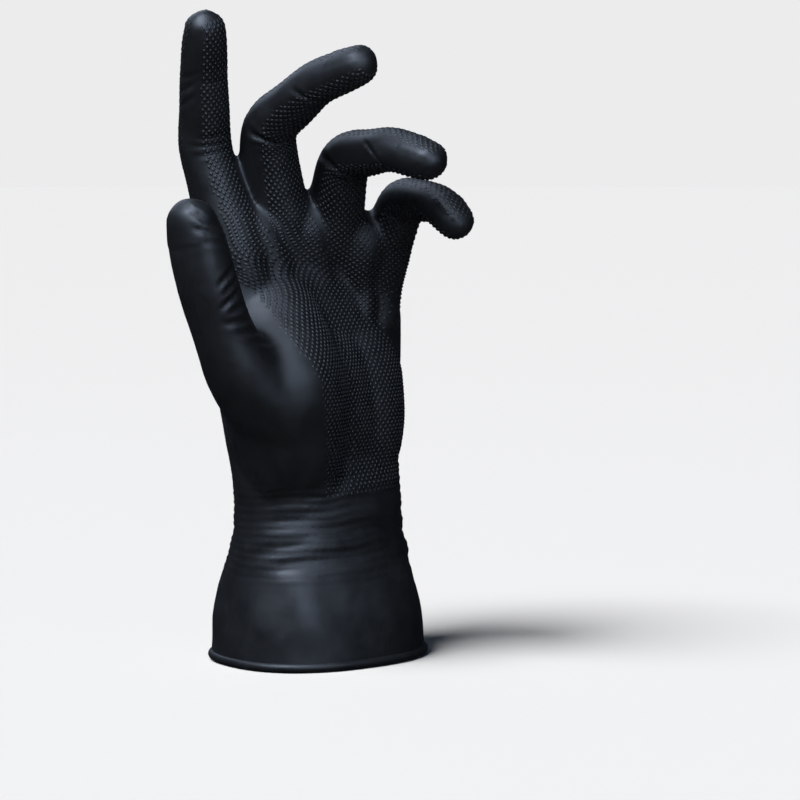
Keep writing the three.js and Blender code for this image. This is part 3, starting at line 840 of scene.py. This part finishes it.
def thumbGripMap(place, setup):
    spot, length = place["thumb"], digits["thumb"]["length"]
    others = np.min([place[name]["near"] for name in place if name != "thumb"], axis=0)
    away = np.abs(wrapAngle(spot["angle"] + 90))
    mask = smoothStep(away, setup["thumbSpan"] + 2, setup["thumbSpan"] - 3)
    mask *= smoothStep(spot["along"], 58, 64) * smoothStep(spot["along"], length - 1.5, length - 4)
    mask *= smoothStep(others - spot["near"], 0.1, 0.3)
    return spot["palmRun"], spot["along"], mask


def latticeOn(points, normals, triangles, across, along, mask, setup):
    # every place of the staggered pattern that falls in a triangle, with the film's own stretch there
    u, v = across / setup["column"], along / setup["row"]
    a, b, c = triangles.T
    found = []
    du1, dv1 = u[b] - u[a], v[b] - v[a]
    du2, dv2 = u[c] - u[a], v[c] - v[a]
    area = du1 * dv2 - du2 * dv1
    size = np.linalg.norm(np.cross(points[b] - points[a], points[c] - points[a]), axis=1)
    # a triangle where the pattern is crushed or torn carries none
    whole = np.abs(area) * setup["column"] * setup["row"] < 6 * size
    whole &= np.abs(area) * setup["column"] * setup["row"] > 0.12 * size
    whole &= (mask[a] + mask[b] + mask[c] > 0.3)
    rowLow = np.ceil(np.minimum(np.minimum(v[a], v[b]), v[c]))
    uLow = np.minimum(np.minimum(u[a], u[b]), u[c])
    for down in range(3):
        row = rowLow + down
        offset = np.where(row % 2 == 1, 0.5, 0.0)
        columnLow = np.ceil(uLow - offset) + offset
        for over in range(3):
            pu, pv = columnLow + over - u[a], row - v[a]
            s = (pu * dv2 - pv * du2) / np.where(area == 0, 1, area)
            t = (pv * du1 - pu * dv1) / np.where(area == 0, 1, area)
            inside = whole & (s >= 0) & (t >= 0) & (s + t < 1)
            k = np.nonzero(inside)[0]
            if len(k) == 0:
                continue
            sk, tk, ak, bk, ck = s[k, None], t[k, None], a[k], b[k], c[k]
            edge1, edge2 = points[bk] - points[ak], points[ck] - points[ak]
            centre = points[ak] + edge1 * sk + edge2 * tk
            normal = normals[ak] * (1 - sk - tk) + normals[bk] * sk + normals[ck] * tk
            normal /= np.linalg.norm(normal, axis=1)[:, None]
            acrossWay = (edge1 * dv2[k, None] - edge2 * dv1[k, None]) / area[k, None] / setup["column"]
            alongWay = (edge2 * du1[k, None] - edge1 * du2[k, None]) / area[k, None] / setup["row"]
            height = mask[ak] * (1 - s[k] - t[k]) + mask[bk] * s[k] + mask[ck] * t[k]
            found.append(np.concatenate([centre, normal, acrossWay, alongWay, height[:, None]], 1))
    rows = np.concatenate(found)
    return rows[rows[:, 12] > 0.2]


def modelDiamond(setup):
    # one diamond by hand: a four-sided circle, raised, narrowed and drawn to a blunt top
    deselectAll()
    bpy.ops.mesh.primitive_circle_add(vertices=4, radius=1.0, fill_type="NGON", location=(0, 0, 0))
    diamond = bpy.context.object
    diamond.name = "diamond"
    bpy.ops.object.mode_set(mode="EDIT")
    bpy.ops.mesh.extrude_region_move(TRANSFORM_OT_translate={"value": (0, 0, setup["shoulder"])})
    bpy.ops.transform.resize(value=(setup["taper"], setup["taper"], 1))
    bpy.ops.mesh.poke(offset=setup["point"])
    bpy.ops.mesh.select_all(action="SELECT")
    bpy.ops.mesh.normals_make_consistent(inside=False)
    bpy.ops.object.mode_set(mode="OBJECT")
    shape = readPlaces(diamond)
    faces = [tuple(face.vertices) for face in diamond.data.polygons]
    bpy.data.objects.remove(diamond)
    return shape, faces


def stampDiamonds(name, rows, rise, setup):
    shape, faces = modelDiamond(setup)
    count = len(shape)
    acrossWay, alongWay = rows[:, 6:9], rows[:, 9:12]
    # a diamond stretches with the film, within these shares
    for way in (acrossWay, alongWay):
        length = np.linalg.norm(way, axis=1)
        way *= (np.clip(length, 0.6, 1.35) / length)[:, None]
    heights = shape[:, 2][None, :, None] * (rise * rows[:, 12] + setup["sink"])[:, None, None] - setup["sink"]
    corners = (
        rows[:, None, 0:3]
        + acrossWay[:, None, :] * (shape[:, 0] * setup["halfWide"])[None, :, None]
        + alongWay[:, None, :] * (shape[:, 1] * setup["halfTall"])[None, :, None]
        + rows[:, None, 3:6] * heights
    ).reshape(-1, 3) * mm
    everyFace = [tuple(i + k * count for i in face) for k in range(len(rows)) for face in faces]
    mesh = bpy.data.meshes.new(name)
    mesh.from_pydata(corners.tolist(), [], everyFace)
    grip = bpy.data.objects.new(name, mesh)
    bpy.context.collection.objects.link(grip)
    selectOnly(grip)
    bpy.ops.object.mode_set(mode="EDIT")
    bpy.ops.mesh.select_all(action="SELECT")
    bpy.ops.mesh.normals_make_consistent(inside=False)
    bpy.ops.object.mode_set(mode="OBJECT")
    mesh.polygons.foreach_set("use_smooth", [True] * len(mesh.polygons))
    return grip


def layGrip(film, outerFaces, setup):
    points, normals = readPlaces(film) / mm, readNormals(film)
    film.data.calc_loop_triangles()
    triangles = np.zeros(len(film.data.loop_triangles) * 3, int)
    owner = np.zeros(len(film.data.loop_triangles), int)
    film.data.loop_triangles.foreach_get("vertices", triangles)
    film.data.loop_triangles.foreach_get("polygon_index", owner)
    triangles = triangles.reshape(-1, 3)[owner < outerFaces]
    place = placeOnHand(points)
    found = {}
    for side in ("palm", "back"):
        across, along, mask, loose = gripMap(points, place, triangles.max() + 1, side, setup)
        across, along = relaxGrid(points, across, along, mask, loose, triangles, setup["passes"])
        found[side] = latticeOn(points, normals, triangles, across, along, mask, setup)
    thumb = latticeOn(points, normals, triangles, *thumbGripMap(place, setup), setup)
    palm = np.concatenate([found["palm"], thumb])
    print("grip:", len(palm), "diamonds on the palm's side,", len(found["back"]), "on the back")
    return [
        stampDiamonds("grip_palm", palm, setup["palmRise"], setup),
        stampDiamonds("grip_back", found["back"], setup["backRise"], setup),
    ]


grips = layGrip(film, outerFaces, gripSetup)


# materials
def hexColour(text):
    values = [int(text[i:i + 2], 16) / 255 for i in (1, 3, 5)]
    return (*[v / 12.92 if v <= 0.04045 else ((v + 0.055) / 1.055) ** 2.4 for v in values], 1.0)


def addNode(tree, kind, settings=None, links=None):
    node = tree.nodes.new(kind)
    for key, value in (settings or {}).items():
        if isinstance(key, str) and hasattr(node, key):
            setattr(node, key, value)
        else:
            node.inputs[key].default_value = value
    for socket, source in (links or {}).items():
        tree.links.new(source, node.inputs[socket])
    return node


def startMaterial(name):
    material = bpy.data.materials.new(name)
    material.use_nodes = True
    material.node_tree.nodes.clear()
    return material, material.node_tree


# nitrile rubber, dipped on a matt former: near black, with a soft satin sheen and a faint blue cast
nitrileLook = {
    "colour": "#0b0c0f", "worn": "#14161a",
    "roughLow": 0.43, "roughHigh": 0.56,
    "grain": 0.35,  # mm, the former's blasted grain
    "cloud": 9.0,  # mm, slow changes of sheen where the film is drawn thinner
    "bumpDepth": 0.06,  # mm
    # the diamonds are pressed smooth by the former's pits, so their grain is weaker and their tops glint
    "filmBump": 0.35, "gripBump": 0.2,
}


def makeNitrile(name, look, bump):
    material, tree = startMaterial(name)
    place = addNode(tree, "ShaderNodeTexCoord")
    grain = addNode(tree, "ShaderNodeTexNoise",
                    {"Scale": 1000 / look["grain"] / 2, "Detail": 3.0, "Roughness": 0.6},
                    {"Vector": place.outputs["Object"]})
    cloud = addNode(tree, "ShaderNodeTexNoise",
                    {"Scale": 1000 / look["cloud"], "Detail": 4.0, "Roughness": 0.55},
                    {"Vector": place.outputs["Object"]})
    tone = addNode(tree, "ShaderNodeMix", {"data_type": "RGBA"}, {"Factor": cloud.outputs["Fac"]})
    tone.inputs["A"].default_value = hexColour(look["colour"])
    tone.inputs["B"].default_value = hexColour(look["worn"])
    rough = addNode(tree, "ShaderNodeMapRange",
                    {"From Min": 0.3, "From Max": 0.7,
                     "To Min": look["roughLow"], "To Max": look["roughHigh"]},
                    {"Value": cloud.outputs["Fac"]})
    relief = addNode(tree, "ShaderNodeBump", {"Strength": bump, "Distance": look["bumpDepth"] * mm},
                     {"Height": grain.outputs["Fac"]})
    shader = addNode(tree, "ShaderNodeBsdfPrincipled", {"IOR": 1.5, "Metallic": 0.0},
                     {"Base Color": tone.outputs["Result"], "Roughness": rough.outputs["Result"],
                      "Normal": relief.outputs["Normal"]})
    addNode(tree, "ShaderNodeOutputMaterial", links={"Surface": shader.outputs["BSDF"]})
    return material


filmMaterial = makeNitrile("dipped_nitrile_film", nitrileLook, nitrileLook["filmBump"])
gripMaterial = makeNitrile("moulded_nitrile_grip", nitrileLook, nitrileLook["gripBump"])
film.data.materials.clear()
film.data.materials.append(filmMaterial)
bead.data.materials.append(filmMaterial)
for grip in grips:
    grip.data.materials.append(gripMaterial)
print("materials made")

for piece in [film, bead, *grips]:
    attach(piece, "root")
    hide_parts("glove")

# floor and studio light
studioSetup = {
    "floor": "#efefef", "backdrop": "#ececed", "shade": "#3d4654", "shadeStrength": 0.25,
    "floorSize": 30.0,
    "sunFrom": (-0.45, -0.35, 0.85), "sunStrength": 3.85, "sunAngle": 30.0,
    "softboxes": [
        # name, place, size, strength in watts, colour
        ("key", (-0.25, -0.55, 1.00), 1.00, 20.0, "#d6e5fb"),
        ("front", (0.45, -0.95, 0.50), 0.90, 7.5, "#c9dcf8"),
        ("back", (-0.40, 0.60, 0.85), 0.90, 4.0, "#d0e0fa"),
        ("fill", (-0.80, -1.00, 1.50), 1.40, 19.0, "#c6d8f4"),
    ],
}


def buildStudio(setup):
    deselectAll()
    bpy.ops.mesh.primitive_circle_add(vertices=96, radius=setup["floorSize"] / 2, fill_type="NGON",
                                      location=(0, 0, 0))
    floor = bpy.context.object
    floor.name = "floor"
    # pale matt paper: evenly lit, with a soft shadow and no shine
    material, tree = startMaterial("matt_paper_floor")
    shader = addNode(tree, "ShaderNodeBsdfPrincipled", {"Roughness": 0.9, "Specular IOR Level": 0.1})
    shader.inputs["Base Color"].default_value = hexColour(setup["floor"])
    addNode(tree, "ShaderNodeOutputMaterial", links={"Surface": shader.outputs["BSDF"]})
    floor.data.materials.append(material)
    floor.visible_glossy = False  # the dark film shows the softboxes, not the paper
    world = bpy.data.worlds.new("studio")
    bpy.context.scene.world = world
    world.use_nodes = True
    tree = world.node_tree
    tree.nodes.clear()
    path = addNode(tree, "ShaderNodeLightPath")
    # the camera sees a pale backdrop, and the film shows a dim bluish room
    dim = addNode(tree, "ShaderNodeBackground",
                  {"Color": hexColour(setup["shade"]), "Strength": setup["shadeStrength"]})
    pale = addNode(tree, "ShaderNodeBackground", {"Color": hexColour(setup["backdrop"]), "Strength": 1.0})
    both = addNode(tree, "ShaderNodeMixShader",
                   links={0: path.outputs["Is Camera Ray"], 1: dim.outputs[0], 2: pale.outputs[0]})
    addNode(tree, "ShaderNodeOutputWorld", links={"Surface": both.outputs[0]})
    deselectAll()
    bpy.ops.object.light_add(type="SUN", location=setup["sunFrom"])
    sun = bpy.context.object
    sun.name = "floor_light"
    sun.data.energy = setup["sunStrength"]
    sun.data.angle = math.radians(setup["sunAngle"])
    sun.visible_glossy = False  # lights the paper evenly
    aimAt(sun, (0.0, 0.0, 0.0))
    for name, place, size, watts, colour in setup["softboxes"]:
        deselectAll()
        bpy.ops.object.light_add(type="AREA", location=place)
        softbox = bpy.context.object
        softbox.name = name
        softbox.data.shape = "DISK"
        softbox.data.size = size
        softbox.data.energy = watts
        softbox.data.color = hexColour(colour)[:3]
        softbox.visible_diffuse = False  # gives the film its sheen and leaves the paper even
        aimAt(softbox, (0.0, 0.0, 0.14))


buildStudio(studioSetup)
bpy.context.scene.view_settings.view_transform = "Standard"
print("studio lit")
